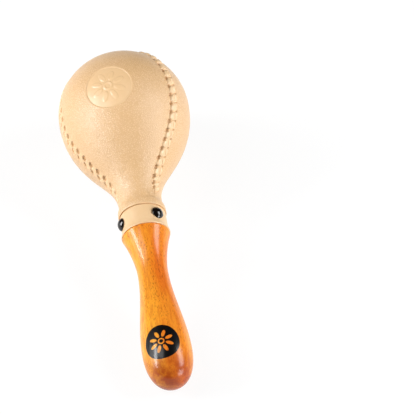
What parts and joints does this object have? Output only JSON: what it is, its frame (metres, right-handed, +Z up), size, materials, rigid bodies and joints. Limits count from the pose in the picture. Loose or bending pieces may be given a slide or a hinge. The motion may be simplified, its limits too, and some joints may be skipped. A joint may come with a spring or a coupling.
{
  "type": "maraca",
  "caption": "Hand rattle with a hollow moulded drop-shaped head, imitation laced seams and a turned wooden handle nailed into its collar.",
  "frame": {"origin": "on the surface that it lies on, under the middle of its bounding box", "axes": "+X runs along the lying instrument from the head towards the butt of the handle, +Z up; the instrument's own axis leans 8.6 degrees down towards +X, because belly and swell both touch the surface"},
  "size_m": [0.2612, 0.0902, 0.0903],
  "materials": {
    "head_plastic": "ivory moulded plastic with a fine leather grain, satin",
    "handle_wood": "turned hardwood, amber stain under gloss lacquer",
    "tack_black": "gloss black enamel",
    "shot_steel": "dull cut steel"
  },
  "bodies": {
    "root": {"head_shell": "head_plastic", "handle": "handle_wood", "tack_1": "tack_black", "tack_2": "tack_black", "tack_3": "tack_black", "shot": "shot_steel"}
  },
  "joints": []
}
